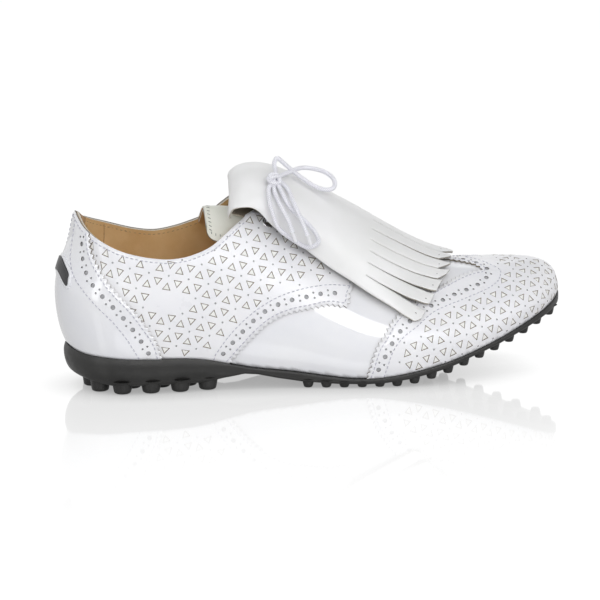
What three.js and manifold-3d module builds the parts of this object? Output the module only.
// Kiltie golf shoe, right foot, as an assembly of separate pieces.
// Units are millimetres. +X is the toe, +Y the inner (medial) side, +Z up.
// The origin is the middle of the ground face of the central heel stud.
import * as THREE from "three";
import Module from "manifold-3d";

const wasm = await Module();
wasm.setup();
const { Manifold, Mesh: SolidMesh } = wasm;

// ---------------------------------------------------------------- driving dimensions
// Every x in the tables is measured from the rear of the sole; the frame origin lies this far on.
const HEEL_ORIGIN = 33;

// Panel layers: inner and outer face, as offsets from the surface of the last.
const OVERLAY = [-1.0, 0]; // quarters, counter, toe cap
const MIDDLE = [-2.3, -1.3]; // vamp, heel stiffener, toe puff
const LINING = [-3.6, -2.7];
const TAB = [0.3, 1.6];

const TONGUE_THICK = 1.2;
const TONGUE_LINING_THICK = 0.7;
const TONGUE_LINING_GAP = 0.35;
const KILTIE_THICK = 1.3;
const FRINGE_STRIPS = 14;
const SLIT_GAP = 0.35;
const FLAP_HALF_WIDTH = 50; // nominal, turns the slit gap into a share of the flap
const SLIT_START = 4.4; // kiltie row at which the fringe begins

const SOLE_TOP_GAP = 0.3;
const STUD_HEEL = { root: 5.3, ground: 4.5, top: 6.2, rearRise: 1.2, rearEnd: 20 };
const STUD_TOE = { root: 2.9, ground: 2.2, height: 3.4, embed: 1.1 };
const TOE_STUD_ROWS = { start: 121, end: 258, pitch: 9, narrowFrom: 240 };

// Boards: insets from the sole edge and heights above the sole top.
const INSOLE_INSET = 5.0;
const INSOLE_BASE = 2.1;
const INSOLE_THICK = 2.0;
const INSOLE_TOP = INSOLE_BASE + INSOLE_THICK;
const SOCK_INSET = INSOLE_INSET + 0.2;
const SOCK_THICK = 1.2;
const BOARD_GAP = 0.3;
const PAD_INSET = 9;
const PAD_THICK = 1.8;
const PAD_END = 72;
const FILLER = { inset: 9, base: 0.1, top: 1.7, start: 100 };
const SHANK = { start: 48, pitch: 12, halfWidth: 6.5, lift: 1.0, thick: 1.0 };

const LACE_RADIUS = 1.15;
const LACE_SIDES = 6;
const LACE_BAR_STEPS = 9;
const TIP = { length: 5, gap: 0.3, rootRadius: 1.15, endRadius: 1.0 };
const KNOT = { centre: [106.8, -20.2, 106.1], radii: [3.6, 3.3, 3.6], tilt: -0.6 };
const EYELET = { flange: 2.9, bore: 1.75, thick: 0.45, lift: 0.3, sides: 8 };
const HOLE_RADIUS = EYELET.bore + 0.25;
// Ridge station x and rise of each eyelet, following the facing's edge.
const EYELETS = [[103, 0.765], [114, 0.755], [125, 0.732], [135, 0.685]];

const FINISHES = {
  rubber: { color: 0x1d1d1f, roughness: 0.55 },
  filler: { color: 0xb08a5a, roughness: 0.9 },
  insole: { color: 0xa88d68, roughness: 0.85 },
  sock: { color: 0xc8965f, roughness: 0.7 },
  pad: { color: 0xe7d27a, roughness: 0.9 },
  steel: { color: 0x9ea3a8, roughness: 0.35, metalness: 0.9 },
  stiffening: { color: 0xb9a27e, roughness: 0.8 },
  heelGrip: { color: 0xb98450, roughness: 0.95 },
  quarterLining: { color: 0xc08a52, roughness: 0.6 },
  tongueLining: { color: 0xc08a52, roughness: 0.7 },
  vampLining: { color: 0xd9c3a0, roughness: 0.8 },
  vamp: { color: 0xf2f1f4, roughness: 0.15 },
  overlay: { color: 0xf2f1f4, roughness: 0.25 },
  smoothWhite: { color: 0xf2f1f4, roughness: 0.2 },
  kiltie: { color: 0xf2f1f4, roughness: 0.3 },
  tab: { color: 0x141416, roughness: 0.5 },
  eyelet: { color: 0xcfd0d2, roughness: 0.3, metalness: 0.8 },
  lace: { color: 0xf5f5f5, roughness: 0.8 },
  laceTip: { color: 0xe8e8ea, roughness: 0.25 },
};

// Girth sections of the last, heel centre -> outer side -> toe -> inner side.
// Each: foot on the sole edge [x, y, z], ridge point above it [x, y, z], foot radius,
// then [radius, height] rows from the foot up. Radii run from the ridge point towards the foot.
const STATIONS = [
  [[1.2, 0, 22.5], [30, 0, 112], 28.8,
    [[31.8, 30], [34.3, 46], [32.4, 62.5], [27, 76.5], [24, 89], [13.5, 104]]],
  [[6.4, -16.5, 20.5], [30, 0, 112], 28.8,
    [[31, 28], [33, 43], [31.4, 58], [27.8, 71], [25.3, 83], [14, 102]]],
  [[17.7, -26.3, 19.3], [30, 0, 112], 29,
    [[31, 27], [32.3, 41], [30.9, 55], [28.4, 66], [26.3, 77], [15, 100]]],
  [[30, -29.3, 18.3], [30, 0, 112], 29.3,
    [[31, 26], [31.9, 38.5], [30.8, 51], [28.9, 62], [27, 72.5], [16, 98]]],
  [[48, -29.6, 18], [48, 0, 112], 29.6,
    [[31.3, 26], [32, 38], [30.8, 50], [29, 60], [27.2, 69.5], [17, 96]]],
  [[68, -28.8, 16.4], [68, 0, 108], 28.8,
    [[31, 25], [31.8, 37], [30.6, 49.5], [28.6, 61], [25.8, 72.5], [16, 95]]],
  [[90, -28.8, 11.5], [90, 0, 99.5], 28.8,
    [[31.2, 21], [31.8, 34], [30.4, 47], [27.6, 60], [23, 74], [13.5, 91.5]]],
  [[112, -31, 8.6], [112, 0, 90], 31,
    [[33.2, 17.5], [33.6, 29.5], [32, 42], [28.5, 54.5], [22.5, 68], [12, 83.5]]],
  [[133, -35.6, 5.6], [133, 0, 80.5], 35.6,
    [[37.6, 14], [37.4, 25], [35, 36.5], [30.5, 48], [23, 60.5], [11.5, 74.5]]],
  [[152, -39.6, 4.6], [152, 0, 71.5], 39.6,
    [[41.4, 12], [40.9, 22], [38, 32.5], [32.5, 43], [24, 54], [12, 66.5]]],
  [[172, -42, 7.2], [172, 0, 64.3], 42,
    [[43.7, 14], [43, 23], [39.5, 32], [33.2, 41], [24.2, 50], [12.5, 60.5]]],
  [[190, -41.6, 11.2], [190, 0.5, 60.2], 41.6,
    [[43.2, 17.5], [42.3, 25.5], [38.5, 33.5], [32, 41.5], [23, 49.3], [12, 57]]],
  [[207, -38.6, 16.3], [207, 1.2, 58.6], 38.6,
    [[40, 22], [39, 29.3], [35.3, 36.7], [29, 44], [20.5, 51], [10.5, 56.7]]],
  [[222, -34, 21.5], [220, 2, 58], 34.1,
    [[35.3, 26.8], [34.3, 33.5], [30.8, 40.5], [25, 47], [17.6, 52.6], [9, 56.8]]],
  [[236.5, -27.5, 27], [229, 3, 57.6], 30.4,
    [[31.8, 32], [30.9, 38], [27.6, 44.2], [22.2, 50], [15.5, 54.5], [7.9, 57]]],
  [[249, -19.5, 32], [234, 3.9, 57.3], 27.5,
    [[28.9, 36.5], [28.1, 41.8], [25, 47.2], [20, 51.8], [13.8, 55.1], [7, 56.9]]],
  [[259, -8.5, 36.3], [236, 4.5, 57.2], 26.4,
    [[27.3, 40], [26.5, 44.4], [24.2, 49.2], [19.6, 53.2], [13.4, 55.9], [6.7, 57]]],
  [[263.4, 4, 38.8], [236.6, 4.5, 57.2], 26.8,
    [[27.6, 41.8], [26.8, 45.6], [24.7, 50.4], [19.9, 54.3], [13.6, 56.4], [6.7, 57.1]]],
  [[259.8, 15, 36.3], [236, 4.5, 57.2], 26,
    [[27, 40], [26.2, 44.4], [24, 49.2], [19.4, 53.2], [13.3, 55.9], [6.6, 57]]],
  [[250.5, 25, 32.3], [234, 3.9, 57.3], 26.7,
    [[28.1, 36.8], [27.3, 42], [24.3, 47.4], [19.4, 51.9], [13.4, 55.2], [6.8, 56.9]]],
  [[238.5, 33, 27.3], [229, 3, 57.6], 31.5,
    [[32.9, 32.3], [32, 38.4], [28.6, 44.6], [23, 50.4], [16, 54.8], [8.1, 57.1]]],
  [[224, 39, 22], [220, 2, 58], 37.2,
    [[38.5, 27.3], [37.6, 34], [34, 41], [27.8, 47.6], [19.6, 53.2], [10, 57]]],
  [[208, 43, 16.5], [207, 1.2, 58.6], 41.5,
    [[42.9, 22.3], [42, 29.8], [38.2, 37.4], [31.6, 44.7], [22.4, 51.4], [11.5, 57]]],
  [[190, 44.5, 11.3], [190, 0.5, 60.2], 44,
    [[45.6, 17.7], [44.9, 26], [41, 34.2], [34.3, 42.3], [24.8, 49.8], [12.8, 57.3]]],
  [[172, 43.5, 7.3], [172, 0, 64.3], 43.5,
    [[45.2, 14.3], [44.8, 23.6], [41.5, 33], [35, 42.2], [25.7, 51], [13.2, 60.8]]],
  [[152, 39, 5], [152, 0, 71.5], 39,
    [[41, 12.8], [41.2, 23.2], [38.8, 34], [33.5, 44.5], [25, 55.3], [12.8, 67]]],
  [[133, 32.5, 6.5], [133, 0, 80.5], 32.5,
    [[35.2, 15.5], [36, 27], [34.5, 38.5], [30.5, 50], [23.5, 62], [12.2, 75]]],
  [[112, 27, 9.5], [112, 0, 90], 27,
    [[30, 19.5], [31.3, 32], [30.7, 44.5], [28, 57], [22.6, 70], [12.4, 84.3]]],
  [[90, 25.5, 12.5], [90, 0, 99.5], 25.5,
    [[28.3, 22.5], [29.5, 36], [29, 50], [27, 63.5], [23, 77.5], [13.8, 92.5]]],
  [[68, 27.5, 16.8], [68, 0, 108], 27.5,
    [[29.6, 26], [30.2, 39.5], [29.4, 53], [27.8, 66], [25.2, 79], [16.5, 96]]],
  [[48, 29, 18.2], [48, 0, 112], 29,
    [[30.8, 26.5], [31.2, 40], [30.2, 53.5], [28.6, 65], [26.6, 76], [17, 97]]],
  [[30, 29.3, 18.4], [30, 0, 112], 29.3,
    [[31, 26.5], [31.7, 40], [30.6, 54], [28.7, 66.5], [26.8, 78.3], [16, 99]]],
  [[17.7, 26.3, 19.3], [30, 0, 112], 29,
    [[31, 27], [32.3, 42], [31, 57], [28.7, 69.5], [26.3, 81], [15, 101]]],
  [[6.4, 16.5, 20.5], [30, 0, 112], 28.8,
    [[31, 28], [33, 43.5], [31.6, 58.5], [28.2, 72], [25.4, 85], [14, 103]]],
];
// Rise of the section points, from foot to ridge.
const SECTION_RISES = [0, 0.09, 0.21, 0.34, 0.47, 0.61, 0.82, 1];

// Panel outlines on the last as [turn, rise]: turn runs once round the shoe (0 heel centre,
// 0.5 toe tip, outer side first), rise from the sole edge (0) to the ridge (1).
const TOPLINE_OUT = [
  [0.0506, 0.6095], [0.0663, 0.6056], [0.0808, 0.6079], [0.0949, 0.6068], [0.1095, 0.6001],
  [0.124, 0.5981], [0.1393, 0.6117], [0.1487, 0.6348], [0.1606, 0.6837], [0.1733, 0.7499],
  [0.1772, 0.79], [0.1785, 0.828],
];
const TOPLINE_IN = [
  [0.0643, 0.6274], [0.0944, 0.611], [0.1149, 0.5967], [0.1367, 0.6079], [0.1553, 0.6615],
  [0.1661, 0.7619], [0.172, 0.835], [0.1762, 0.868],
];
const FACING_OUT = [
  [0.185, 0.83], [0.1941, 0.825], [0.2109, 0.815], [0.2279, 0.8], [0.2416, 0.775],
  [0.2537, 0.7228], [0.2631, 0.6537], [0.2684, 0.584],
];
const FACING_IN = [
  [0.185, 0.862], [0.1941, 0.85], [0.2109, 0.83], [0.2279, 0.805], [0.2416, 0.775],
  [0.2537, 0.7228], [0.2631, 0.6537], [0.2684, 0.584],
];
const QUARTER_FRONT = [
  [0.264, 0.5036], [0.2597, 0.4265], [0.2447, 0.408], [0.2275, 0.3603], [0.2105, 0.3132],
  [0.195, 0.2543], [0.1807, 0.1736], [0.1674, 0.0828], [0.1575, 0.0007],
];
const COUNTER_FRONT = [
  [0.0992, 0.0], [0.0944, 0.1003], [0.0837, 0.2], [0.0731, 0.2832], [0.0583, 0.3627],
  [0.0459, 0.4558], [0.0389, 0.5252], [0.0345, 0.6155],
];
const HEEL_TOPLINE = [[0.0311, 0.6173], [0.0043, 0.6152], [0, 0.622], [-0.0253, 0.6385]];
const CAP_SEAM = [
  [0.2751, 0.0], [0.2819, 0.1768], [0.2904, 0.2753], [0.2976, 0.3585], [0.3074, 0.4258],
  [0.3316, 0.5346], [0.3557, 0.6135], [0.3738, 0.6647], [0.3854, 0.6836], [0.3946, 0.6925],
  [0.3925, 0.745], [0.3882, 0.8111], [0.3782, 0.8805], [0.3663, 0.9391], [0.3556, 1],
];
const VAMP_REAR = [
  [0.146, 0.0], [0.155, 0.09], [0.168, 0.18], [0.182, 0.26], [0.198, 0.32], [0.214, 0.37],
  [0.23, 0.42], [0.244, 0.46], [0.252, 0.51], [0.253, 0.6], [0.2475, 0.7], [0.25, 0.8],
  [0.26, 0.9], [0.268, 1],
];
const VAMP_FRONT = [
  [0.289, 0.0], [0.295, 0.17], [0.302, 0.26], [0.309, 0.33], [0.32, 0.39], [0.343, 0.49],
  [0.367, 0.57], [0.384, 0.62], [0.398, 0.64], [0.409, 0.67], [0.405, 0.75], [0.398, 0.85],
  [0.385, 0.93], [0.372, 1],
];
const LINING_SPLIT = [[0.235, 0.0], [0.238, 0.25], [0.245, 0.45], [0.253, 0.6], [0.2537, 0.7228]];
const STIFFENER_EDGE = [[0.105, 0], [0.095, 0.2], [0.06, 0.4], [0, 0.46]];
const HEEL_GRIP = { edge: 0.039, riseOut: 0.6125, riseIn: 0.632 };
const TOE_PUFF_FOOT = 0.2905; // turn of the toe puff's corner below the sole edge
const TAB_OUTLINE = [
  [-0.0198, 0.296], [-0.0205, 0.33], [-0.0195, 0.355], [-0.009, 0.38], [0, 0.386],
  [0.009, 0.38], [0.0195, 0.355], [0.0205, 0.33], [0.0198, 0.296], [0.009, 0.321],
  [0, 0.327], [-0.009, 0.321],
];
// Turn left between neighbouring panels.
const QUARTER_GAP = 0.0013;
const SPLIT_GAP = 0.0012;
const GRIP_GAP = 0.0008;
const TOE_PUFF_SHIFT = 0.0045;

// Sheets standing off the last, row by row:
// ridge station x, ridge stand-off, edge turn, edge rise, edge stand-off.
const FLAP_ROWS = [
  [100.7, 17.7, 0.1936, 0.7105, 7.2], [110.6, 18, 0.209, 0.682, 6.3],
  [122.9, 17.3, 0.2207, 0.655, 5.6], [134.1, 16.8, 0.2433, 0.5957, 4.6],
  [149.3, 15.5, 0.2655, 0.5494, 4], [164, 13, 0.2872, 0.4877, 3.2],
  [178.8, 9.9, 0.3, 0.44, 2.8], [194.3, 6.4, 0.3075, 0.4, 2.6],
  [202.8, 4.4, 0.312, 0.378, 2.5], [208.9, 2.8, 0.3159, 0.3593, 2.4],
  [215.2, 2.1, 0.3203, 0.343, 2.3],
];
const FOLD_ROWS = [
  [99.6, 17.4, 0.1925, 0.712, 7.3], [93.5, 15.8, 0.1807, 0.742, 8.5],
  [88, 12.5, 0.169, 0.742, 8.8], [85, 9, 0.1625, 0.74, 7.6], [84.2, 5.6, 0.1597, 0.738, 5.2],
  [86, 2.4, 0.161, 0.745, 2.4], [89.5, -1.8, 0.163, 0.785, -2.1],
  [94.5, -4.6, 0.1695, 0.802, -4.7], [104, -4.5, 0.195, 0.8, -4.6],
];
const TONGUE_ROWS = [
  [80, -11.6, 0.15, 0.655, -8.2], [88, -8.5, 0.17, 0.66, -7.4], [97, -7.1, 0.186, 0.66, -7.1],
  [108, -6.7, 0.204, 0.655, -6.7], [116, -5, 0.218, 0.65, -5.2], [132, -4.9, 0.245, 0.64, -5],
  [146, -4.9, 0.262, 0.66, -5], [154, -4.9, 0.274, 0.72, -5],
];

// Sole levels as [x, z]: the underside, and the line the shank follows.
const SOLE_UNDER = [
  [0, 8.4], [4, 7.2], [8, 6.05], [20, 4.04], [33, 3.8], [69, 3.94], [80, 6.6], [88, 8],
  [95, 7.4], [105, 5.2], [118, 3.1], [135, 1.9], [150, 1.6], [160, 2.2], [172, 3.8],
  [188, 7.4], [197, 10], [205.5, 13.2], [221, 18.2], [243.5, 26.3], [259, 31.8], [268, 34.5],
];
const SHANK_LEVEL = [[48, 18.1], [68, 16.5], [90, 11.9], [112, 9]];

// Heel stud centres, and the outer and inner limits of the forefoot stud rows, as [x, y].
const HEEL_STUDS = [
  [16, -14], [14, 0], [16, 14], [26, -23], [33, -11], [33, 0], [33, 11], [26, 23],
  [40.5, -24], [40.5, 24], [48, -12], [48, 0], [48, 12], [55.5, -24], [55.5, 24],
  [62, -11.5], [62, 0], [62, 11.5], [70, -22.5], [70, 22],
];
const TOE_STUDS_OUT = [
  [118, -29], [133, -33], [152, -36.5], [180, -38.5], [195, -37], [210, -33], [225, -27.5],
  [240, -20], [250, -12.5], [258, -6],
];
const TOE_STUDS_IN = [
  [118, 23], [133, 28.5], [152, 35], [180, 40], [195, 40], [210, 36.5], [225, 31.5],
  [240, 24.5], [250, 17.5], [258, 11],
];

// Centre lines of the bow, as [x, y, z].
const LOOP_FRONT = [
  [107.2, -15.4, 110.4], [106.9, -13.7, 113.6], [108.6, -13.4, 116.4], [112.7, -13, 113],
  [117.1, -12, 109.2], [120.8, -12, 106.2], [126.9, -13, 101.8], [131.9, -14, 99.6],
  [136.4, -15, 99.4], [138.7, -14, 101.6], [138.1, -12, 104.8], [134.6, -9.3, 107.6],
  [128.8, -8, 109.4], [121.9, -8.4, 110.1], [114.2, -13.2, 108.6],
];
const LOOP_SIDE = [
  [102.4, -21.8, 102.4], [101.6, -24.8, 99.6], [101.6, -27.4, 95.6], [103, -28.2, 90.4],
  [105.7, -28.6, 82.8], [112.3, -28.8, 77.4], [118.7, -29.2, 73.2], [122.7, -29.8, 72.6],
  [126.4, -30, 75], [125, -29.2, 79.6], [120.2, -28.2, 85.4], [113.4, -27.4, 91.6],
  [110, -25.6, 97], [108.9, -22.4, 100.6],
];
const TAILS = [
  [[105.2, -22.6, 100.2], [106.8, -27, 95.2], [111, -31.9, 85.5], [113.4, -32.6, 76.5]],
  [[112, -20.6, 102.4], [114, -30, 94.5], [118, -33, 84.4], [121.6, -33.6, 73.9]],
];

// ---------------------------------------------------------------- vectors and tables
const AXES = [0, 1, 2];
const subtract = (a, b) => AXES.map((axis) => a[axis] - b[axis]);
const offset = (point, direction, amount = 1) =>
  AXES.map((axis) => point[axis] + direction[axis] * amount);
const cross = (a, b) => [
  a[1] * b[2] - a[2] * b[1],
  a[2] * b[0] - a[0] * b[2],
  a[0] * b[1] - a[1] * b[0],
];
const distance = (a, b) => Math.hypot(...subtract(a, b));
const unit = (vector) => {
  const length = Math.hypot(...vector) || 1;
  return vector.map((value) => value / length);
};
const inFrame = ([x, y, z]) => [x - HEEL_ORIGIN, y, z];
const smooth = (low, high, x) => {
  const share = Math.min(1, Math.max(0, (x - low) / (high - low)));
  return share * share * (3 - 2 * share);
};
function interpolate(table, x) {
  if (x <= table[0][0]) return table[0][1];
  for (let i = 1; i < table.length; i++) {
    const [x0, y0] = table[i - 1];
    const [x1, y1] = table[i];
    if (x <= x1) return y0 + ((y1 - y0) * (x - x0)) / (x1 - x0);
  }
  return table[table.length - 1][1];
}
// Index of the interval of rising knots that holds a value.
function intervalOf(knots, value) {
  let i = 0;
  while (i < knots.length - 2 && knots[i + 1] <= value) i++;
  return i;
}

// ---------------------------------------------------------------- the last as a smooth surface
const STATION_COUNT = STATIONS.length;
const sections = STATIONS.map(([foot, ridge, footRadius, rows]) => {
  const girth = rows.map(([radius, z]) => [
    ridge[0] + ((foot[0] - ridge[0]) * radius) / footRadius,
    ridge[1] + ((foot[1] - ridge[1]) * radius) / footRadius,
    z,
  ]);
  return [foot, ...girth, ridge].map(inFrame);
});

// Turn of each station: chord lengths along the sole edge, averaged between the two sides.
const chords = sections.map((section, i) =>
  distance(section[0], sections[(i + 1) % STATION_COUNT][0]));
const evenChords = chords.map((chord, i) => (chord + chords[STATION_COUNT - 1 - i]) / 2);
const perimeter = evenChords.reduce((sum, chord) => sum + chord, 0);
const stationTurns = [0];
for (const chord of evenChords) stationTurns.push(stationTurns.at(-1) + chord / perimeter);

// Gauss-Jordan elimination in place; the right side may have several columns.
function solveLinear(left, right) {
  const size = left.length;
  for (let i = 0; i < size; i++) {
    let pivot = i;
    for (let r = i + 1; r < size; r++) {
      if (Math.abs(left[r][i]) > Math.abs(left[pivot][i])) pivot = r;
    }
    [left[i], left[pivot]] = [left[pivot], left[i]];
    [right[i], right[pivot]] = [right[pivot], right[i]];
    for (let r = 0; r < size; r++) {
      const factor = left[r][i] / left[i][i];
      if (r === i || factor === 0) continue;
      for (let c = i; c < size; c++) left[r][c] -= factor * left[i][c];
      for (let c = 0; c < right[r].length; c++) right[r][c] -= factor * right[i][c];
    }
  }
  return right.map((row, i) => row.map((value) => value / left[i][i]));
}

// Second derivatives of a periodic cubic spline round the shoe, through every section row.
function solveRoundBends() {
  const flat = sections.map((section) => section.flat());
  const left = [];
  const right = [];
  for (let i = 0; i < STATION_COUNT; i++) {
    const before = (i + STATION_COUNT - 1) % STATION_COUNT;
    const after = (i + 1) % STATION_COUNT;
    const widthBefore = stationTurns[before + 1] - stationTurns[before];
    const widthAfter = stationTurns[i + 1] - stationTurns[i];
    const row = new Array(STATION_COUNT).fill(0);
    row[before] = widthBefore / 6;
    row[i] = (widthBefore + widthAfter) / 3;
    row[after] = widthAfter / 6;
    left.push(row);
    right.push(flat[i].map((value, c) =>
      (flat[after][c] - value) / widthAfter - (value - flat[before][c]) / widthBefore));
  }
  return solveLinear(left, right);
}
const roundBends = solveRoundBends();

// Matrix from a section's eight values to their second derivatives with rise.
// The ridge end is either free or held level, so that the two sides meet flat.
function sectionBends(levelRidge) {
  const end = SECTION_RISES.length - 1;
  const left = SECTION_RISES.map(() => new Array(end + 1).fill(0));
  const right = SECTION_RISES.map(() => new Array(end + 1).fill(0));
  const gaps = SECTION_RISES.slice(1).map((rise, i) => rise - SECTION_RISES[i]);
  left[0][0] = 1;
  for (let i = 1; i < end; i++) {
    left[i][i - 1] = gaps[i - 1] / 6;
    left[i][i] = (gaps[i - 1] + gaps[i]) / 3;
    left[i][i + 1] = gaps[i] / 6;
    right[i][i + 1] = 1 / gaps[i];
    right[i][i] = -(1 / gaps[i] + 1 / gaps[i - 1]);
    right[i][i - 1] = 1 / gaps[i - 1];
  }
  if (levelRidge) {
    left[end][end] = gaps[end - 1] / 3;
    left[end][end - 1] = gaps[end - 1] / 6;
    right[end][end] = -1 / gaps[end - 1];
    right[end][end - 1] = 1 / gaps[end - 1];
  } else left[end][end] = 1;
  return solveLinear(left, right);
}
const freeBends = sectionBends(false);
const levelBends = sectionBends(true);

// Cubic across one interval, from end values and end second derivatives.
function cubic(after, width, value0, value1, bend0, bend1) {
  const before = 1 - after;
  const bend = (before ** 3 - before) * bend0 + (after ** 3 - after) * bend1;
  return before * value0 + after * value1 + (bend * width * width) / 6;
}

function lastPoint(anyTurn, rise) {
  const turn = anyTurn - Math.floor(anyTurn);
  const i = intervalOf(stationTurns, turn);
  const next = (i + 1) % STATION_COUNT;
  const width = stationTurns[i + 1] - stationTurns[i];
  const share = (turn - stationTurns[i]) / width;
  const section = sections[i].map((point, row) => point.map((value, axis) => {
    const c = row * 3 + axis;
    const nextValue = sections[next][row][axis];
    return cubic(share, width, value, nextValue, roundBends[i][c], roundBends[next][c]);
  }));
  const k = intervalOf(SECTION_RISES, rise);
  const gap = SECTION_RISES[k + 1] - SECTION_RISES[k];
  const shareUp = (rise - SECTION_RISES[k]) / gap;
  return AXES.map((axis) => {
    const bends = axis === 2 ? levelBends : freeBends;
    const bendAt = (knot) =>
      section.reduce((sum, point, row) => sum + bends[knot][row] * point[axis], 0);
    return cubic(
      shareUp, gap, section[k][axis], section[k + 1][axis], bendAt(k), bendAt(k + 1));
  });
}
function lastNormal(turn, anyRise) {
  const step = 1e-3;
  const rise = Math.min(anyRise, 1 - 2 * step);
  const along = subtract(lastPoint(turn + step, rise), lastPoint(turn - step, rise));
  const up = subtract(lastPoint(turn, rise + step), lastPoint(turn, Math.max(rise - step, 0)));
  return unit(cross(along, up));
}
// Point at a distance outside the last.
const offLast = (turn, rise, lift) =>
  offset(lastPoint(turn, rise), lastNormal(turn, rise), lift);

// Turn on the outer side at which the ridge reaches x.
function ridgeTurn(x) {
  let low = 0.02;
  let high = 0.5;
  for (let i = 0; i < 40; i++) {
    const middle = (low + high) / 2;
    if (lastPoint(middle, 1)[0] + HEEL_ORIGIN < x) low = middle;
    else high = middle;
  }
  return (low + high) / 2;
}

// ---------------------------------------------------------------- geometry helpers
function geometryOf(positions, index) {
  const geometry = new THREE.BufferGeometry();
  geometry.setAttribute("position", new THREE.BufferAttribute(new Float32Array(positions), 3));
  geometry.setIndex(index);
  geometry.computeVertexNormals();
  return geometry;
}
// Turns every face round if the geometry encloses a negative volume.
function outward(geometry) {
  const positions = geometry.getAttribute("position").array;
  const index = Array.from(geometry.index.array);
  let volume = 0;
  for (let i = 0; i < index.length; i += 3) {
    const [a, b, c] = AXES.map((k) => positions.subarray(index[i + k] * 3, index[i + k] * 3 + 3));
    const normal = cross(b, c);
    volume += a[0] * normal[0] + a[1] * normal[1] + a[2] * normal[2];
  }
  if (volume < 0) {
    for (let i = 0; i < index.length; i += 3) {
      [index[i + 1], index[i + 2]] = [index[i + 2], index[i + 1]];
    }
    geometry.setIndex(index);
    geometry.computeVertexNormals();
  }
  return geometry;
}
// Joins vertices that share a place and drops the triangles this collapses.
function weld(geometry) {
  const source = geometry.getAttribute("position").array;
  const ids = new Map();
  const positions = [];
  const corners = Array.from(geometry.index.array, (i) => {
    const point = source.subarray(i * 3, i * 3 + 3);
    const key = AXES.map((axis) => Math.round(point[axis] * 1e4)).join();
    if (!ids.has(key)) {
      ids.set(key, positions.length / 3);
      positions.push(...point);
    }
    return ids.get(key);
  });
  const index = [];
  for (let i = 0; i < corners.length; i += 3) {
    const triangle = corners.slice(i, i + 3);
    if (new Set(triangle).size === 3) index.push(...triangle);
  }
  return { positions, index };
}
function welded(geometry) {
  const { positions, index } = weld(geometry);
  return outward(geometryOf(positions, index));
}
function toSolid(geometry) {
  const { positions, index } = weld(geometry);
  return new Manifold(new SolidMesh({
    numProp: 3,
    vertProperties: new Float32Array(positions),
    triVerts: new Uint32Array(index),
  }));
}
function fromSolid(solid) {
  const mesh = solid.getMesh();
  return geometryOf(mesh.vertProperties, Array.from(mesh.triVerts));
}
// Closed sheet: outer faces, inner faces and walls along every free edge.
function thickSheet(outerPoints, innerPoints, triangles) {
  const count = outerPoints.length;
  const index = [];
  const edges = new Map();
  for (const [a, b, c] of triangles) {
    index.push(a, b, c, count + a, count + c, count + b);
    for (const [from, to] of [[a, b], [b, c], [c, a]]) edges.set(from + "_" + to, [from, to]);
  }
  for (const [from, to] of edges.values()) {
    if (edges.has(to + "_" + from)) continue;
    index.push(to, from, count + from, to, count + from, count + to);
  }
  return geometryOf([...outerPoints.flat(), ...innerPoints.flat()], index);
}

// ---------------------------------------------------------------- grid on the last
// Two columns to a station interval, but one along the straighter sides.
const columnTurns = [];
for (let i = 0; i < STATION_COUNT; i++) {
  const fromHeel = Math.min(i, STATION_COUNT - 1 - i);
  const parts = fromHeel >= 4 && fromHeel <= 9 ? 1 : 2;
  for (let j = 0; j < parts; j++) {
    columnTurns.push(stationTurns[i] + ((stationTurns[i + 1] - stationTurns[i]) * j) / parts);
  }
}
const COLUMN_COUNT = columnTurns.length;
const columnKnots = [...columnTurns, 1];
const ROW_RISES = [0, 0.09, 0.2, 0.32, 0.45, 0.58, 0.71, 0.86, 1];
const TOP_ROW = ROW_RISES.length - 1;
const wrapColumn = (x) => ((x % COLUMN_COUNT) + COLUMN_COUNT) % COLUMN_COUNT;

// Ridge points and normals are shared by the two sides.
const gridPoints = columnTurns.map((turn) => ROW_RISES.map((rise) => {
  if (rise < 1) return { point: lastPoint(turn, rise), normal: lastNormal(turn, rise) };
  const outerTurn = turn > 0.5 ? 1 - turn : turn;
  const normal = unit(offset(lastNormal(outerTurn, rise), lastNormal(1 - outerTurn, rise)));
  return { point: lastPoint(outerTurn, rise), normal };
}));

function knotPosition(knots, value) {
  const i = intervalOf(knots, value);
  return i + (value - knots[i]) / (knots[i + 1] - knots[i]);
}
// Grid coordinates [column, row] of a [turn, rise]; rises past either end run on evenly.
function toGrid([turn, rise]) {
  const turns = Math.floor(turn);
  const column = turns * COLUMN_COUNT + knotPosition(columnKnots, turn - turns);
  if (rise <= 0) return [column, rise * 10];
  if (rise >= 1) return [column, TOP_ROW + (rise - 1) * 10];
  return [column, knotPosition(ROW_RISES, rise)];
}

// ---------------------------------------------------------------- plane outlines
// Twice the area of a triangle, positive when anticlockwise.
const doubleArea = (a, b, c) => (b[0] - a[0]) * (c[1] - a[1]) - (b[1] - a[1]) * (c[0] - a[0]);
const centroid = ([a, b, c]) => [(a[0] + b[0] + c[0]) / 3, (a[1] + b[1] + c[1]) / 3];
const signedArea = (loop) => loop.reduce((sum, point, i) => {
  const next = loop[(i + 1) % loop.length];
  return sum + point[0] * next[1] - next[0] * point[1];
}, 0) / 2;
function contains(loop, [x, y]) {
  let odd = false;
  loop.forEach(([toX, toY], i) => {
    const [fromX, fromY] = loop[(i + loop.length - 1) % loop.length];
    const spans = toY > y !== fromY > y;
    if (spans && x < ((fromX - toX) * (y - toY)) / (fromY - toY) + toX) odd = !odd;
  });
  return odd;
}
const boxesMeet = (triangle, from, to) => [0, 1].every((axis) => {
  const corners = triangle.map((corner) => corner[axis]);
  return Math.max(from[axis], to[axis]) >= Math.min(...corners)
    && Math.min(from[axis], to[axis]) <= Math.max(...corners);
});

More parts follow.
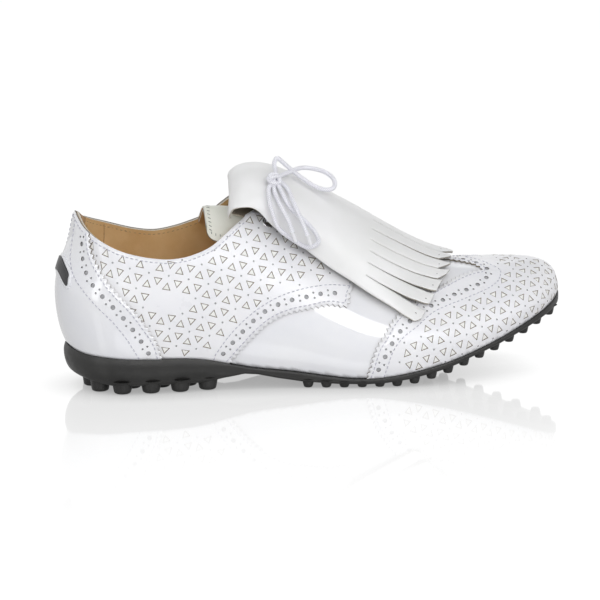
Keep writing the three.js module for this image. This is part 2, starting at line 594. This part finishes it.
// The share of an anticlockwise triangle that lies left of every loop, as closed loops:
// outer ones anticlockwise, gaps clockwise.
function clipToTriangle(triangle, loops, inside) {
  const depth = (point, k) => doubleArea(triangle[k], triangle[(k + 1) % 3], point);
  // position along the triangle's boundary: side number plus share of that side
  const boundaryAt = (point, k) => {
    const [startX, startY] = triangle[k];
    const [endX, endY] = triangle[(k + 1) % 3];
    const sideX = endX - startX;
    const sideY = endY - startY;
    const along = (point[0] - startX) * sideX + (point[1] - startY) * sideY;
    return k + along / (sideX ** 2 + sideY ** 2);
  };
  const chains = []; // stretches of loop that cross the triangle from side to side
  const pieces = [];
  for (const loop of loops) {
    const start = loop.findIndex((point) => AXES.some((k) => depth(point, k) < 0));
    if (start < 0) {
      pieces.push(loop);
      continue;
    }
    let chain = null;
    for (let i = 0; i < loop.length; i++) {
      const from = loop[(start + i) % loop.length];
      const to = loop[(start + i + 1) % loop.length];
      let enter = 0;
      let leave = 1;
      let enterSide = -1;
      let leaveSide = -1;
      for (let k = 0; k < 3; k++) {
        const near = depth(from, k);
        const far = depth(to, k);
        const crossing = near / (near - far);
        if (near < 0 && far < 0) leave = -1;
        else if (near < 0 && crossing > enter) {
          enter = crossing;
          enterSide = k;
        } else if (far < 0 && crossing < leave) {
          leave = crossing;
          leaveSide = k;
        }
      }
      if (leave <= enter) continue;
      const at = (share) => [0, 1].map((axis) => from[axis] + (to[axis] - from[axis]) * share);
      if (enterSide >= 0) {
        chain = { from: boundaryAt(at(enter), enterSide), points: [at(enter)] };
      }
      if (leaveSide >= 0) {
        chain.points.push(at(leave));
        chain.to = boundaryAt(at(leave), leaveSide);
        chains.push(chain);
        chain = null;
      } else chain.points.push(to);
    }
  }
  if (!chains.length) {
    const whole = pieces.length ? signedArea(pieces[0]) < 0 : inside(centroid(triangle));
    if (whole) pieces.push(triangle);
    return pieces;
  }
  // link each chain to the next one round the boundary, by way of the corners between
  for (const first of chains) {
    if (first.used) continue;
    const piece = [];
    let current = first;
    while (!current.used) {
      current.used = true;
      piece.push(...current.points);
      const end = current.to;
      const ahead = (chain) => (chain.from - end + 3) % 3;
      const next = chains.reduce((best, chain) => (ahead(chain) < ahead(best) ? chain : best));
      for (let k = Math.floor(end) + 1; k < end + ahead(next); k++) piece.push(triangle[k % 3]);
      current = next;
    }
    pieces.push(piece);
  }
  return pieces;
}

// ---------------------------------------------------------------- leather panels
// Outline in grid coordinates, with points added so that it follows the grid, anticlockwise.
// The small shifts keep it off the grid lines.
function gridOutline(outline) {
  const points = [];
  outline.forEach((from, i) => {
    const to = outline[(i + 1) % outline.length];
    const parts = Math.max(1, Math.ceil(Math.abs(to[0] - from[0]) / 0.012));
    for (let j = 0; j < parts; j++) {
      points.push([0, 1].map((axis) => from[axis] + ((to[axis] - from[axis]) * j) / parts));
    }
  });
  const loop = points.map(toGrid).map(([x, y]) => [
    x + (x < COLUMN_COUNT / 2 ? 1.7e-4 : -1.7e-4),
    y + (y < 0.01 ? -1.3e-4 : 1.3e-4),
  ]);
  return signedArea(loop) < 0 ? loop.reverse() : loop;
}
// The diagonals of the cells mirror each other on the two sides of the shoe.
function cellTriangles(i, j) {
  const corners = [[i, j], [i + 1, j], [i + 1, j + 1], [i, j + 1]];
  const outerSide = (wrapColumn(i) + 0.5) / COLUMN_COUNT < 0.5;
  const halves = outerSide ? [[0, 1, 2], [0, 2, 3]] : [[0, 1, 3], [1, 2, 3]];
  return halves.map((half) => half.map((corner) => corners[corner]));
}
// Triangulates the part of a cut grid triangle inside the loops.
function cutFaces(triangle, loops, inside) {
  const toVectors = (loop) => loop.map((point) => new THREE.Vector2(...point));
  const pieces = clipToTriangle(triangle, loops, inside);
  const clockwise = pieces.filter((loop) => signedArea(loop) < 0);
  return pieces.filter((loop) => signedArea(loop) > 1e-6).flatMap((piece) => {
    const gaps = clockwise.filter((loop) => contains(piece, loop[0]));
    const points = [...piece, ...gaps.flat()];
    return THREE.ShapeUtils.triangulateShape(toVectors(piece), gaps.map(toVectors))
      .map((face) => face.map((id) => points[id]));
  });
}
// Panel vertices, joined across the heel centre line and across the ridge.
function vertexPool(inner, outer) {
  const outerPoints = [];
  const innerPoints = [];
  const places = [];
  const buckets = new Map();
  const canonical = ([x, y]) => {
    const onRidge = Math.abs(y - TOP_ROW) < 1e-6;
    let column = wrapColumn(x);
    if (onRidge) column = Math.min(column, COLUMN_COUNT - column);
    if (column > COLUMN_COUNT - 1e-4) column -= COLUMN_COUNT;
    return [column, onRidge ? TOP_ROW : y];
  };
  const find = (x, y, bucketX, bucketY) => {
    for (let i = -1; i < 2; i++) {
      for (let j = -1; j < 2; j++) {
        for (const id of buckets.get(bucketX + i + "," + (bucketY + j)) || []) {
          const [otherX, otherY] = places[id];
          if (Math.abs(otherX - x) < 4e-4 && Math.abs(otherY - y) < 4e-4) return id;
        }
      }
    }
    return -1;
  };
  // id of the vertex at a grid point, its place on the last weighted from the triangle's corners
  const place = (point, triangle) => {
    const [x, y] = canonical(point);
    const bucketX = Math.round(x * 500);
    const bucketY = Math.round(y * 500);
    const found = find(x, y, bucketX, bucketY);
    if (found >= 0) return found;
    const key = bucketX + "," + bucketY;
    if (!buckets.has(key)) buckets.set(key, []);
    buckets.get(key).push(places.length);
    places.push([x, y]);
    const [a, b, c] = triangle;
    const area = doubleArea(a, b, c);
    const weightB = doubleArea(a, point, c) / area;
    const weightC = doubleArea(a, b, point) / area;
    const weights = [1 - weightB - weightC, weightB, weightC];
    const corners = triangle.map(([column, row]) => gridPoints[wrapColumn(column)][row]);
    const at = (lift) => AXES.map((axis) => corners.reduce((sum, corner, k) =>
      sum + weights[k] * (corner.point[axis] + corner.normal[axis] * lift), 0));
    outerPoints.push(at(outer));
    innerPoints.push(at(inner));
    return places.length - 1;
  };
  return { outerPoints, innerPoints, place };
}
// Piece of the last's grid inside the [turn, rise] outlines, less clockwise holes in grid
// coordinates, thickened between two offsets.
function panel(outlines, [inner, outer], holes = []) {
  const outlineLoops = outlines.map(gridOutline);
  const loops = [...outlineLoops, ...holes];
  const inside = (point) => loops.filter((loop) => contains(loop, point)).length % 2 === 1;
  const isCut = (triangle) => loops.some((loop) =>
    loop.some((point, i) => boxesMeet(triangle, point, loop[(i + 1) % loop.length])));
  const facesOf = (triangle) => {
    if (isCut(triangle)) return cutFaces(triangle, loops, inside);
    return inside(centroid(triangle)) ? [triangle] : [];
  };
  const pool = vertexPool(inner, outer);
  const triangles = [];
  const [columns, rows] = [0, 1].map((axis) => outlineLoops.flat().map((point) => point[axis]));
  const columnEnd = Math.ceil(Math.max(...columns));
  const rowStart = Math.max(0, Math.floor(Math.min(...rows)));
  const rowEnd = Math.min(TOP_ROW, Math.ceil(Math.max(...rows)));
  for (let i = Math.floor(Math.min(...columns)); i < columnEnd; i++) {
    for (let j = rowStart; j < rowEnd; j++) {
      for (const triangle of cellTriangles(i, j)) {
        for (const face of facesOf(triangle)) {
          const [a, b, c] = face.map((point) => pool.place(point, triangle));
          if (a === b || b === c || a === c) continue;
          triangles.push(doubleArea(...face) > 0 ? [a, b, c] : [a, c, b]);
        }
      }
    }
  }
  return thickSheet(pool.outerPoints, pool.innerPoints, triangles);
}

// ---------------------------------------------------------------- free sheets
// Catmull-Rom interpolation between the rows of a table.
function rowAt(rows, anyPosition) {
  const end = rows.length - 1;
  const position = Math.min(end, Math.max(0, anyPosition));
  const i = Math.min(Math.floor(position), end - 1);
  const share = position - i;
  const value = (k, c) => rows[Math.min(end, Math.max(0, k))][c];
  return rows[0].map((_, c) => {
    const [v0, v1, v2, v3] = [i - 1, i, i + 1, i + 2].map((k) => value(k, c));
    return 0.5 * (2 * v1 + (-v0 + v2) * share
      + (2 * v0 - 5 * v1 + 4 * v2 - v3) * share * share
      + (-v0 + 3 * v1 - 3 * v2 + v3) * share ** 3);
  });
}
// Point of a sheet table; across runs from -1 (outer edge) over the ridge to 1 (inner edge).
function standOff(rows, row, across, extra) {
  const [ridgeX, ridgeLift, edgeTurn, edgeRise, edgeLift] = rowAt(rows, row);
  const side = Math.abs(across);
  const middle = ridgeTurn(ridgeX);
  const turn = middle + (edgeTurn - middle) * side;
  const rise = 1 - (1 - edgeRise) * side;
  const lift = edgeLift + (ridgeLift - edgeLift) * (1 - side * side) + extra;
  return offLast(across > 0 ? 1 - turn : turn, rise, lift);
}
// Thick sheet about a surface(row, column); present(i, j) says which cells exist.
function sheet(surface, rows, columns, thickness, present = () => true) {
  const step = 0.02;
  const around = (list, value) =>
    [Math.min(list.at(-1), value + step), Math.max(list[0], value - step)];
  const outerPoints = [];
  const innerPoints = [];
  for (const row of rows) {
    for (const column of columns) {
      const [rowAfter, rowBefore] = around(rows, row);
      const [columnAfter, columnBefore] = around(columns, column);
      const down = subtract(surface(rowAfter, column), surface(rowBefore, column));
      const over = subtract(surface(row, columnAfter), surface(row, columnBefore));
      const normal = unit(cross(down, over));
      const middle = surface(row, column);
      outerPoints.push(offset(middle, normal, thickness / 2));
      innerPoints.push(offset(middle, normal, -thickness / 2));
    }
  }
  const width = columns.length;
  const triangles = [];
  for (let i = 0; i + 1 < rows.length; i++) {
    for (let j = 0; j + 1 < width; j++) {
      if (!present(i, j)) continue;
      const corner = i * width + j;
      triangles.push([corner, corner + width, corner + width + 1]);
      triangles.push([corner, corner + width + 1, corner + 1]);
    }
  }
  return outward(thickSheet(outerPoints, innerPoints, triangles));
}

// ---------------------------------------------------------------- rings stacked on the sole
// Sole edge at each column, with its outward normal in plan.
const footprint = columnTurns.map((turn) => {
  const [dx, dy] = subtract(lastPoint(turn + 1e-3, 0), lastPoint(turn - 1e-3, 0));
  const length = Math.hypot(dx, dy);
  return { foot: lastPoint(turn, 0), normal: [dy / length, -dx / length, 0] };
});
const footX = (column) => footprint[column].foot[0] + HEEL_ORIGIN;
const edgeLevels = (keep) => footprint
  .filter((_, i) => keep(columnTurns[i]))
  .map(({ foot }) => [foot[0] + HEEL_ORIGIN, foot[2]]);
const outerLevels = edgeLevels((turn) => turn <= 0.5);
const innerLevels = edgeLevels((turn) => turn >= 0.5).reverse();
// Level of the sole top at x, the higher of the two sides.
const soleTop = (x) => Math.max(interpolate(outerLevels, x), interpolate(innerLevels, x));
const allColumns = [...footprint.keys()];

// Solid through rings (functions column -> point), bottom ring first, capped at both ends.
function stack(rings, columns) {
  const count = columns.length;
  const positions = rings.flatMap((ring) => columns.flatMap(ring));
  const index = [];
  for (let r = 0; r + 1 < rings.length; r++) {
    for (let i = 0; i < count; i++) {
      const near = r * count + i;
      const far = r * count + ((i + 1) % count);
      index.push(near, far, far + count, near, far + count, near + count);
    }
  }
  // each cap folds the ring across its long axis
  const cap = (base, flip) => {
    const push = (a, b, c) =>
      (flip ? index.push(base + a, base + c, base + b) : index.push(base + a, base + b, base + c));
    let low = 0;
    let high = count - 1;
    while (high - low > 1) {
      push(low, low + 1, high);
      low++;
      if (high - low > 1) {
        push(low, high - 1, high);
        high--;
      }
    }
  };
  cap(0, true);
  cap((rings.length - 1) * count, false);
  return outward(geometryOf(positions, index));
}
// Board inset from the sole edge, between two functions of x giving height above the sole top.
function board(inset, base, top, columns = allColumns) {
  const ring = (lift) => (column) => {
    const { foot, normal } = footprint[column];
    const [x, y] = offset(foot, normal, -inset);
    return [x, y, soleTop(x + HEEL_ORIGIN) + lift(x + HEEL_ORIGIN)];
  };
  return stack([ring(base), ring(top)], columns);
}

// ---------------------------------------------------------------- assembly
const shoe = new THREE.Group();
shoe.name = "golf_shoe";
function put(name, geometry, finish) {
  const mesh = new THREE.Mesh(geometry, new THREE.MeshStandardMaterial(finish));
  mesh.name = name;
  shoe.add(mesh);
}

// ---- outsole with moulded studs
// Ring of the sole; heel is 1 under the heel and fades to 0 at the waist.
function soleRing(outset, height) {
  return (column) => {
    const { foot, normal } = footprint[column];
    const heel = 1 - smooth(64, 84, footX(column));
    const [x, y] = offset(foot, normal, outset(heel));
    const under = interpolate(SOLE_UNDER, footX(column));
    return [x, y, height({ heel, under, edge: foot[2], top: soleTop(x + HEEL_ORIGIN) })];
  };
}
const soleBody = () => stack([
  soleRing((heel) => -1.2 - 5.0 * heel, ({ under }) => under),
  soleRing((heel) => 0.3 - 2.3 * heel, ({ heel, under }) => under + 0.5 + 0.7 * heel),
  soleRing((heel) => 0.9 - 0.2 * heel, ({ heel, under }) => under + 1.2 + 4.2 * heel),
  soleRing((heel) => 1.0 + 0.4 * heel, ({ heel, under, edge }) =>
    Math.max(edge - SOLE_TOP_GAP - 0.8 - 2.6 * heel, under + 1.5 + 5 * heel)),
  soleRing((heel) => 0.8 - 0.1 * heel, ({ edge }) => edge - SOLE_TOP_GAP),
  soleRing(() => -4, ({ edge, top }) => Math.min(edge, top) - SOLE_TOP_GAP),
], allColumns);

function stud({ x, y, size, top, bottom, sides }) {
  const height = top - bottom;
  const geometry = new THREE.CylinderGeometry(size.root, size.ground, height, sides, 1);
  geometry.rotateX(Math.PI / 2);
  geometry.translate(x - HEEL_ORIGIN, y, bottom + height / 2);
  return toSolid(geometry);
}
// The central heel stud, at the origin, is rounder than the rest.
const heelStuds = () => HEEL_STUDS.map(([x, y]) => stud({
  x,
  y,
  size: STUD_HEEL,
  top: STUD_HEEL.top + (x < STUD_HEEL.rearEnd ? STUD_HEEL.rearRise : 0),
  bottom: 0,
  sides: x === HEEL_ORIGIN && y === 0 ? 12 : 8,
}));
function toeStuds() {
  const studs = [];
  for (let x = TOE_STUD_ROWS.start; x < TOE_STUD_ROWS.end; x += TOE_STUD_ROWS.pitch) {
    const outerY = interpolate(TOE_STUDS_OUT, x);
    const innerY = interpolate(TOE_STUDS_IN, x);
    const under = interpolate(SOLE_UNDER, x);
    const count = x > TOE_STUD_ROWS.narrowFrom ? 2 : 3;
    for (let k = 0; k < count; k++) {
      studs.push(stud({
        x,
        y: outerY + ((innerY - outerY) * k) / (count - 1),
        size: STUD_TOE,
        top: under + STUD_TOE.embed,
        bottom: Math.max(0, under - STUD_TOE.height),
        sides: 6,
      }));
    }
  }
  return studs;
}
const outsole = [...heelStuds(), ...toeStuds()]
  .reduce((joined, part) => joined.add(part), toSolid(soleBody()));
put("outsole", fromSolid(outsole), FINISHES.rubber);

// ---- boards inside the shoe
const fillerColumns = allColumns.filter((i) => footX(i) > FILLER.start);
put("bottom_filler",
  board(FILLER.inset, () => FILLER.base, () => FILLER.top, fillerColumns), FINISHES.filler);
put("insole_board", board(INSOLE_INSET, () => INSOLE_BASE, () => INSOLE_TOP), FINISHES.insole);

// The sock liner steps up over the heel pad.
const sockBase = (x) =>
  INSOLE_TOP + BOARD_GAP + (PAD_THICK + BOARD_GAP) * (1 - smooth(74, 92, x));
put("sock_liner", board(SOCK_INSET, sockBase, (x) => sockBase(x) + SOCK_THICK), FINISHES.sock);

// Pad columns run through the heel centre, from the inner side to the outer.
const padColumns = allColumns.filter((i) => footX(i) < PAD_END);
const padRing = [
  ...padColumns.filter((i) => i > COLUMN_COUNT / 2),
  ...padColumns.filter((i) => i <= COLUMN_COUNT / 2),
];
put("heel_pad",
  board(PAD_INSET, () => INSOLE_TOP + BOARD_GAP, () => INSOLE_TOP + PAD_THICK, padRing),
  FINISHES.pad);

// Sprung steel strip bridging the waist.
function shankPoint(row, across) {
  const x = SHANK.start + SHANK.pitch * row;
  return inFrame([x, across * SHANK.halfWidth, interpolate(SHANK_LEVEL, x) + SHANK.lift]);
}
put("shank", sheet(shankPoint, [0, 1, 2, 3, 4], [-1, 1], SHANK.thick), FINISHES.steel);

// ---- panels
const below = ([turn]) => [turn, -0.3]; // past the sole edge, where the grid ends
const beyond = ([turn]) => [turn, 1.3]; // past the ridge
const extended = (line) => [below(line[0]), ...line, beyond(line.at(-1))];
const shift = (line, amount) => line.map(([turn, rise]) => [turn + amount, rise]);
const otherSide = (line) => line.map(([turn, rise]) => [1 - turn, rise]);
const acrossHeel = (line) => line.map(([turn, rise]) => [-turn, rise]).reverse();
const overToe = (line) => [...line, ...otherSide(line).reverse()];

// Eyelet hole as a clockwise loop in grid coordinates.
function eyeletHole([turn, rise]) {
  const step = 0.01;
  const [x, y] = toGrid([turn, rise]);
  const centre = lastPoint(turn, rise);
  const stepX = distance(lastPoint(turn + step, rise), centre);
  const stepY = distance(lastPoint(turn, rise + step), centre);
  const radiusX = (HOLE_RADIUS * (toGrid([turn + step, rise])[0] - x)) / stepX;
  const radiusY = (HOLE_RADIUS * (toGrid([turn, rise + step])[1] - y)) / stepY;
  const loop = [];
  for (let k = 0; k < EYELET.sides; k++) {
    const angle = (2 * Math.PI * (k + 0.5)) / EYELET.sides;
    loop.push([x + radiusX * Math.cos(angle), y + radiusY * Math.sin(angle)]);
  }
  return loop.reverse();
}
const eyeletsOut = EYELETS.map(([x, rise]) => [ridgeTurn(x), rise]);
const eyeletsIn = otherSide(eyeletsOut);
const holesOut = eyeletsOut.map(eyeletHole);
const holesIn = eyeletsIn.map(eyeletHole);

const stiffenerSide = [below(STIFFENER_EDGE[0]), ...STIFFENER_EDGE];
put("heel_stiffener",
  panel([[...stiffenerSide, ...acrossHeel(stiffenerSide.slice(0, -1))]], MIDDLE),
  FINISHES.stiffening);

const puffSeam = shift(VAMP_FRONT, TOE_PUFF_SHIFT);
const puffSide = [below([TOE_PUFF_FOOT]), ...puffSeam, beyond(puffSeam.at(-1))];
put("toe_puff", panel([overToe(puffSide)], MIDDLE), FINISHES.stiffening);

const heelGripOutline = [
  below([-HEEL_GRIP.edge]),
  [-HEEL_GRIP.edge, HEEL_GRIP.riseIn],
  ...HEEL_TOPLINE.slice().reverse(),
  [HEEL_GRIP.edge, HEEL_GRIP.riseOut],
  below([HEEL_GRIP.edge]),
];
put("heel_grip_lining", panel([heelGripOutline], LINING), FINISHES.heelGrip);

function liningOutline(gripRise, topline, facing) {
  const rear = HEEL_GRIP.edge + GRIP_GAP;
  const splitTop = LINING_SPLIT.at(-1)[0];
  return [
    below([rear]),
    [rear, gripRise],
    ...topline,
    ...facing.filter(([turn]) => turn < splitTop),
    ...LINING_SPLIT.slice().reverse(),
    below(LINING_SPLIT[0]),
  ];
}
const liningOut = liningOutline(HEEL_GRIP.riseOut, TOPLINE_OUT, FACING_OUT);
const liningIn = otherSide(liningOutline(HEEL_GRIP.riseIn, TOPLINE_IN, FACING_IN));
put("lateral_quarter_lining", panel([liningOut], LINING, holesOut), FINISHES.quarterLining);
put("medial_quarter_lining", panel([liningIn], LINING, holesIn), FINISHES.quarterLining);

const vampLiningRear = [...shift(LINING_SPLIT, SPLIT_GAP), [0.262, 0.8], [0.27, 0.9], [0.276, 1]];
put("vamp_lining", panel([overToe(extended(vampLiningRear))], LINING), FINISHES.vampLining);

const vampSide = [...extended(VAMP_REAR), ...extended(VAMP_FRONT).reverse()];
put("vamp", panel([vampSide, otherSide(vampSide)], MIDDLE), FINISHES.vamp);
put("toe_cap", panel([overToe(extended(CAP_SEAM))], OVERLAY), FINISHES.overlay);

function quarterOutline(topline, facing) {
  const rear = shift(COUNTER_FRONT, QUARTER_GAP);
  const front = [...QUARTER_FRONT, below(QUARTER_FRONT.at(-1))];
  return [below(rear[0]), ...rear, ...topline, ...facing, ...front];
}
const quarterOut = quarterOutline(TOPLINE_OUT, FACING_OUT);
const quarterIn = otherSide(quarterOutline(TOPLINE_IN, FACING_IN));
put("lateral_quarter", panel([quarterOut], OVERLAY, holesOut), FINISHES.overlay);
put("medial_quarter", panel([quarterIn], OVERLAY, holesIn), FINISHES.overlay);

// The counter's inner top corner stands higher than its outer one.
const counterFoot = below(COUNTER_FRONT[0]);
const counterOutline = [
  counterFoot,
  ...COUNTER_FRONT,
  ...HEEL_TOPLINE,
  [-0.0345, 0.635],
  ...acrossHeel([counterFoot, ...COUNTER_FRONT.slice(0, -1)]),
];
put("heel_counter", panel([counterOutline], OVERLAY), FINISHES.smoothWhite);
put("heel_tab", panel([TAB_OUTLINE], TAB), FINISHES.tab);

// ---- tongue, under the facings
const tonguePoint = (row, across) => standOff(TONGUE_ROWS, row, across, 0);
const tongueLiningDrop = TONGUE_THICK / 2 + TONGUE_LINING_THICK / 2 + TONGUE_LINING_GAP;
// the lining is slightly shorter and narrower than the tongue
const tongueLiningPoint = (row, across) =>
  standOff(TONGUE_ROWS, 0.1 + row * 0.98, across * 0.97, -tongueLiningDrop);
const tongueRows = [...TONGUE_ROWS.keys()];
const tongueColumns = [-1, -0.8, -0.6, -0.4, -0.2, 0, 0.2, 0.4, 0.6, 0.8, 1];
put("tongue", sheet(tonguePoint, tongueRows, tongueColumns, TONGUE_THICK), FINISHES.smoothWhite);
put("tongue_lining",
  sheet(tongueLiningPoint, tongueRows, tongueColumns, TONGUE_LINING_THICK),
  FINISHES.tongueLining);

// ---- kiltie: the folded rear stays with the lace, the fringed flap lifts
const kiltieSurface = (rows) => (row, across) => standOff(rows, row, across, -KILTIE_THICK / 2);
function kiltieFlap() {
  const halfGap = SLIT_GAP / 2 / FLAP_HALF_WIDTH;
  const columns = [-1];
  for (let k = 1; k < FRINGE_STRIPS; k++) {
    const slit = -1 + (2 * k) / FRINGE_STRIPS;
    columns.push(slit - halfGap, slit + halfGap);
  }
  columns.push(1);
  const rows = [0, 1, 2, 3.2, SLIT_START, 6, 7.4, 8.7, 10];
  // even columns are strips, odd ones the slits between them
  const present = (i, j) => rows[i] < SLIT_START || j % 2 === 0;
  return sheet(kiltieSurface(FLAP_ROWS), rows, columns, KILTIE_THICK, present);
}
function kiltieFold() {
  const rows = [0.45, 1.2, 2, 3, 4, 5, 6, 6.6, 7.2, 8];
  const columns = [-1, -0.85, -0.65, -0.45, -0.22, 0, 0.22, 0.45, 0.65, 0.85, 1];
  return sheet(kiltieSurface(FOLD_ROWS), rows, columns, KILTIE_THICK);
}
put("kiltie_flap", kiltieFlap(), FINISHES.kiltie);
put("kiltie_fold", kiltieFold(), FINISHES.kiltie);

// ---- eyelets and the lace runs between them
function cord(points, steps) {
  const path = points.map((point) => new THREE.Vector3(...point));
  const ring = [];
  for (let i = 0; i < LACE_SIDES; i++) {
    const angle = (2 * Math.PI * i) / LACE_SIDES;
    ring.push(new THREE.Vector2(LACE_RADIUS * Math.cos(angle), LACE_RADIUS * Math.sin(angle)));
  }
  const shape = new THREE.Shape(ring);
  shape.closePath();
  const extrudePath = new THREE.CatmullRomCurve3(path, false, "centripetal");
  return new THREE.ExtrudeGeometry(shape, { steps, extrudePath, curveSegments: 1 });
}
function eyelet([turn, rise]) {
  const { flange, bore, thick, lift, sides } = EYELET;
  const profile = [
    [bore, lift],
    [flange, lift],
    [flange, lift + thick * 0.6],
    [(flange + bore) / 2, lift + thick],
    [bore, lift + thick * 0.7],
    [bore, lift],
  ];
  const geometry = new THREE.LatheGeometry(profile.map(([x, y]) => new THREE.Vector2(x, y)), sides);
  const normal = new THREE.Vector3(...lastNormal(turn, rise));
  const tilt = new THREE.Quaternion().setFromUnitVectors(new THREE.Vector3(0, 1, 0), normal);
  geometry.applyQuaternion(tilt);
  geometry.translate(...lastPoint(turn, rise));
  return welded(geometry);
}
// Lace run over the ridge: above the leather at its ends, dipping inside the last between.
function laceBar([turn, rise]) {
  const points = [];
  for (let i = 0; i <= LACE_BAR_STEPS; i++) {
    const share = i / LACE_BAR_STEPS;
    const across = Math.abs(2 * share - 1);
    const lift = across > 0.7 ? 2.2 : -2.3 + 4.4 * across;
    points.push(offLast(share < 0.5 ? turn : 1 - turn, 1 - (1 - rise) * across, lift));
  }
  return cord(points, LACE_BAR_STEPS);
}
EYELETS.forEach((_, k) => {
  put("eyelet_lateral_" + (k + 1), eyelet(eyeletsOut[k]), FINISHES.eyelet);
  put("lace_bar_" + (k + 1), laceBar(eyeletsOut[k]), FINISHES.lace);
  put("eyelet_medial_" + (k + 1), eyelet(eyeletsIn[k]), FINISHES.eyelet);
});

// ---- knot, bow loops and tails on top of the kiltie
function laceKnot() {
  const geometry = new THREE.SphereGeometry(1, 12, 8);
  geometry.scale(...KNOT.radii);
  geometry.rotateX(KNOT.tilt);
  geometry.translate(...inFrame(KNOT.centre));
  return welded(geometry);
}
// Tip carrying on in line from the end of a tail.
function laceTip(points) {
  const [before, end] = points.slice(-2);
  const direction = unit(subtract(end, before));
  const geometry = new THREE.CylinderGeometry(TIP.endRadius, TIP.rootRadius, TIP.length, 8, 1);
  geometry.applyQuaternion(new THREE.Quaternion().setFromUnitVectors(
    new THREE.Vector3(0, -1, 0), new THREE.Vector3(...direction)));
  geometry.translate(...offset(end, direction, TIP.length / 2 + TIP.gap));
  return welded(geometry);
}
put("lace_knot", laceKnot(), FINISHES.lace);
put("bow_loop_front", cord(LOOP_FRONT.map(inFrame), 24), FINISHES.lace);
put("bow_loop_side", cord(LOOP_SIDE.map(inFrame), 22), FINISHES.lace);
TAILS.forEach((tail, k) => {
  const points = tail.map(inFrame);
  put("lace_tail_" + (k + 1), cord(points, 8), FINISHES.lace);
  put("lace_tip_" + (k + 1), laceTip(points), FINISHES.laceTip);
});

export default shoe;
